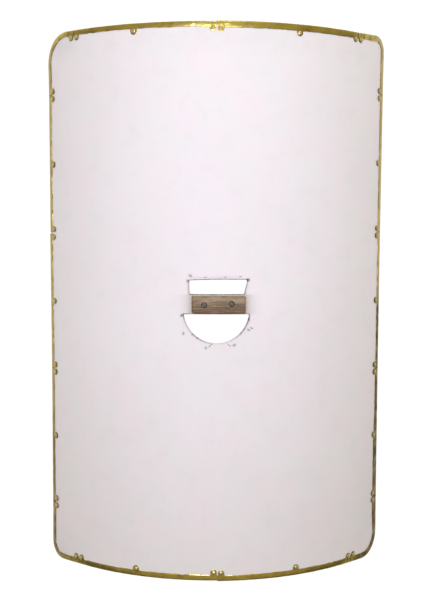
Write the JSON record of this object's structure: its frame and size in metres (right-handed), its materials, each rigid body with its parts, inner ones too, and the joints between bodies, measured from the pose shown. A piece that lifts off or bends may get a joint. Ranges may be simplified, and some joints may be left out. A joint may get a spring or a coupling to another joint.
{
  "type": "roman scutum shield",
  "caption": "Curved rectangular shield of canvas-faced plywood, with nailed brass edging, two hand openings and a wood block screwed on the bridge between them.",
  "frame": {"origin": "middle of the shield's footprint on the floor, with the shield lying on its two long sides and its bulging face up", "axes": "+Y towards the shield's top end, along its straight sides; +Z out of the bulging face at the crown; +X across, to the right as seen from the front with the top end up"},
  "size_m": [0.67, 1.0531, 0.175],
  "materials": {
    "plywood": "bare birch plywood, lightly sanded",
    "canvas": "unpainted cotton canvas, glued down",
    "brass": "hand-formed sheet, dulled and handled",
    "old_wood": "rough sawn and weathered grey-brown",
    "steel": "dull, darkened steel"
  },
  "bodies": {
    "root": {"board": "plywood", "facing": "canvas", "edging_top_left": "brass", "edging_corner_top_left": "brass", "edging_top_right": "brass", "edging_corner_top_right": "brass", "edging_bottom_left": "brass", "edging_corner_bottom_left": "brass", "edging_bottom_right": "brass", "edging_corner_bottom_right": "brass", "edging_left_1": "brass", "edging_left_2": "brass", "edging_left_3": "brass", "edging_right_1": "brass", "edging_right_2": "brass", "edging_right_3": "brass", "nail_01": "brass", "nail_02": "brass", "nail_03": "brass", "nail_04": "brass", "nail_05": "brass", "nail_06": "brass", "nail_07": "brass", "nail_08": "brass", "nail_09": "brass", "nail_10": "brass", "nail_11": "brass", "nail_12": "brass", "nail_13": "brass", "nail_14": "brass", "nail_15": "brass", "nail_16": "brass", "nail_17": "brass", "nail_18": "brass", "nail_19": "brass", "nail_20": "brass", "nail_21": "brass", "nail_22": "brass", "nail_23": "brass", "nail_24": "brass", "nail_25": "brass", "nail_26": "brass", "nail_27": "brass", "nail_28": "brass", "nail_29": "brass", "nail_30": "brass", "nail_31": "brass", "nail_32": "brass", "nail_33": "brass", "nail_34": "brass", "nail_35": "brass", "nail_36": "brass", "nail_37": "brass", "nail_38": "brass", "grip_block": "old_wood", "grip_screw_left": "steel", "grip_screw_right": "steel"}
  },
  "joints": []
}
